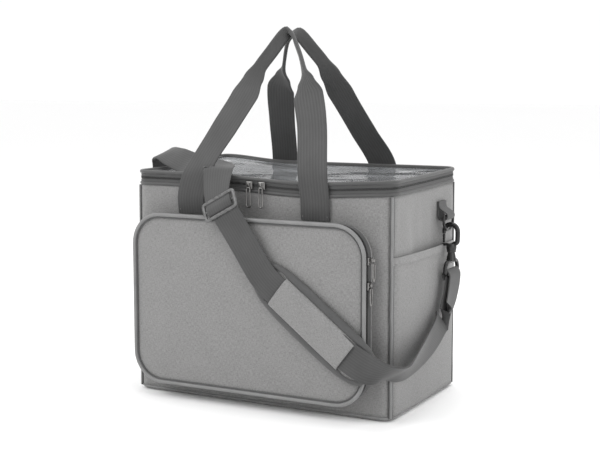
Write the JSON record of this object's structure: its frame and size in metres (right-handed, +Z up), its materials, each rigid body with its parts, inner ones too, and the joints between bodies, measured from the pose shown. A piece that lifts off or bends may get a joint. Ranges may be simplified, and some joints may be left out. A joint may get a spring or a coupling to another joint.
{
  "type": "knitting bag",
  "caption": "Padded fabric knitting bag with a clear zipped lid, zipped front pocket, side slip pockets, webbing handles and a padded clip-on shoulder strap.",
  "frame": {"origin": "middle of the flat base on the floor", "axes": "+X to the right along the width, +Y from the pocket side to the back, +Z up"},
  "size_m": [0.4107, 0.2492, 0.4616],
  "materials": {
    "heather_fabric": "heathered canvas weave, matt",
    "lining_fabric": "plain dark lining, matt",
    "webbing": "ribbed webbing, matt",
    "zip_tape": "woven tape, matt",
    "zip_coil": "satin nylon coil",
    "piping": "bound piping, matt",
    "clear_film": "glossy clear film",
    "black_plastic": "moulded, satin to gloss",
    "dark_metal": "dark nickel",
    "board": "plain board"
  },
  "bodies": {
    "bag": {"base_panel": "heather_fabric", "base_piping": "piping", "base_stiffener": "board", "front_left_handle_leg": "webbing", "front_left_piping": "piping", "front_panel": "heather_fabric", "front_right_handle_leg": "webbing", "front_right_piping": "piping", "left_hook_eye": "black_plastic", "left_ring": "black_plastic", "left_ring_tab": "webbing", "left_side_panel": "heather_fabric", "left_side_pocket": "heather_fabric", "lid_hinge_tape": "lining_fabric", "lining": "lining_fabric", "pocket_gusset": "heather_fabric", "pocket_zip_coil": "zip_coil", "pocket_zip_tape": "zip_tape", "rear_left_handle_leg": "webbing", "rear_left_piping": "piping", "rear_panel": "heather_fabric", "rear_right_handle_leg": "webbing", "rear_right_piping": "piping", "right_hook_eye": "black_plastic", "right_ring": "black_plastic", "right_ring_tab": "webbing", "right_side_panel": "heather_fabric", "right_side_pocket": "heather_fabric", "rim_piping": "piping", "rim_zip_coil": "zip_coil", "rim_zip_tape": "zip_tape", "shoulder_strap": "webbing", "shoulder_strap_end": "webbing", "strap_adjuster": "black_plastic"},
    "lid": {"lid_zip_coil": "zip_coil", "lid_zip_tape": "zip_tape", "lid_piping": "piping", "lid_window": "clear_film"},
    "front_handle": {"front_handle": "webbing"},
    "rear_handle": {"rear_handle": "webbing"},
    "pocket_cover": {"pocket_cover": "heather_fabric", "pocket_cover_coil": "zip_coil", "pocket_cover_tape": "zip_tape", "pocket_cover_piping": "piping"},
    "left_rim_slider": {"left_rim_slider": "dark_metal"},
    "right_rim_slider": {"right_rim_slider": "dark_metal"},
    "left_rim_pull": {"left_rim_pull": "dark_metal"},
    "right_rim_pull": {"right_rim_pull": "dark_metal"},
    "upper_pocket_slider": {"upper_pocket_slider": "dark_metal"},
    "lower_pocket_slider": {"lower_pocket_slider": "dark_metal"},
    "upper_pocket_pull": {"upper_pocket_pull": "dark_metal"},
    "lower_pocket_pull": {"lower_pocket_pull": "dark_metal"},
    "left_hook": {"left_hook": "black_plastic"},
    "right_hook": {"right_hook": "black_plastic"},
    "left_hook_gate": {"left_hook_gate": "black_plastic"},
    "right_hook_gate": {"right_hook_gate": "black_plastic"},
    "shoulder_pad": {"shoulder_pad": "heather_fabric", "pad_sleeve": "heather_fabric"}
  },
  "joints": [
    {"name": "lid_hinge", "type": "hinge", "parent": "bag", "child": "lid", "pos_m": [0, 0.1042, 0.271], "axis": [-1, 0, 0], "range_deg": [0, 105], "deforming": ["shoulder_strap", "shoulder_strap_end", "strap_adjuster", "shoulder_pad", "pad_sleeve"]},
    {"name": "front_handle_swing", "type": "hinge", "parent": "bag", "child": "front_handle", "pos_m": [0, -0.1082, 0.256], "axis": [1, 0, 0], "range_deg": [0, 126]},
    {"name": "rear_handle_swing", "type": "hinge", "parent": "bag", "child": "rear_handle", "pos_m": [0, 0.1082, 0.256], "axis": [-1, 0, 0], "range_deg": [0, 126]},
    {"name": "pocket_cover_hinge", "type": "hinge", "parent": "bag", "child": "pocket_cover", "pos_m": [0, -0.1222, 0.0188], "axis": [1, 0, 0], "range_deg": [0, 90]},
    {"name": "left_rim_slider_slide", "type": "slide", "parent": "bag", "child": "left_rim_slider", "axis": [1, 0, 0], "range_m": [-0.014, 0]},
    {"name": "right_rim_slider_slide", "type": "slide", "parent": "bag", "child": "right_rim_slider", "axis": [1, 0, 0], "range_m": [0, 0.04]},
    {"name": "left_rim_pull_swing", "type": "hinge", "parent": "left_rim_slider", "child": "left_rim_pull", "pos_m": [-0.0085, -0.1095, 0.267], "axis": [-1, 0, 0], "range_deg": [0, 100]},
    {"name": "right_rim_pull_swing", "type": "hinge", "parent": "right_rim_slider", "child": "right_rim_pull", "pos_m": [0.0085, -0.1095, 0.267], "axis": [-1, 0, 0], "range_deg": [0, 100]},
    {"name": "upper_pocket_slider_slide", "type": "slide", "parent": "bag", "child": "upper_pocket_slider", "axis": [0, 0, 1], "range_m": [-0.014, 0]},
    {"name": "lower_pocket_slider_slide", "type": "slide", "parent": "bag", "child": "lower_pocket_slider", "axis": [0, 0, 1], "range_m": [-0.05, 0]},
    {"name": "upper_pocket_pull_swing", "type": "hinge", "parent": "upper_pocket_slider", "child": "upper_pocket_pull", "pos_m": [0.1615, -0.122, 0.189], "axis": [0, -1, 0], "range_deg": [0, 105]},
    {"name": "lower_pocket_pull_swing", "type": "hinge", "parent": "lower_pocket_slider", "child": "lower_pocket_pull", "pos_m": [0.1583, -0.122, 0.1605], "axis": [0, -1, 0], "range_deg": [0, 105]},
    {"name": "left_hook_swivel", "type": "hinge", "parent": "bag", "child": "left_hook", "pos_m": [-0.191, 0.045, 0.2], "axis": [0, 0, 1], "range_deg": [-15, 15]},
    {"name": "right_hook_swivel", "type": "hinge", "parent": "bag", "child": "right_hook", "pos_m": [0.191, 0.045, 0.2], "axis": [0, 0, 1], "range_deg": [-15, 15]},
    {"name": "left_gate_hinge", "type": "hinge", "parent": "left_hook", "child": "left_hook_gate", "pos_m": [-0.1812, 0.045, 0.1952], "axis": [0, -1, 0], "range_deg": [0, 22], "stiffness_Nm_per_rad": 0.02},
    {"name": "right_gate_hinge", "type": "hinge", "parent": "right_hook", "child": "right_hook_gate", "pos_m": [0.1812, 0.045, 0.1952], "axis": [0, 1, 0], "range_deg": [0, 22], "stiffness_Nm_per_rad": 0.02},
    {"name": "pad_slide", "type": "slide", "parent": "bag", "child": "shoulder_pad", "axis": [0.7916, 0, -0.6111], "range_m": [-0.008, 0.008]}
  ],
  "couplings": [
    {"joint": "front_handle_swing", "follows": "lid_hinge", "ratio": 1.2},
    {"joint": "rear_handle_swing", "follows": "lid_hinge", "ratio": 1.2}
  ]
}
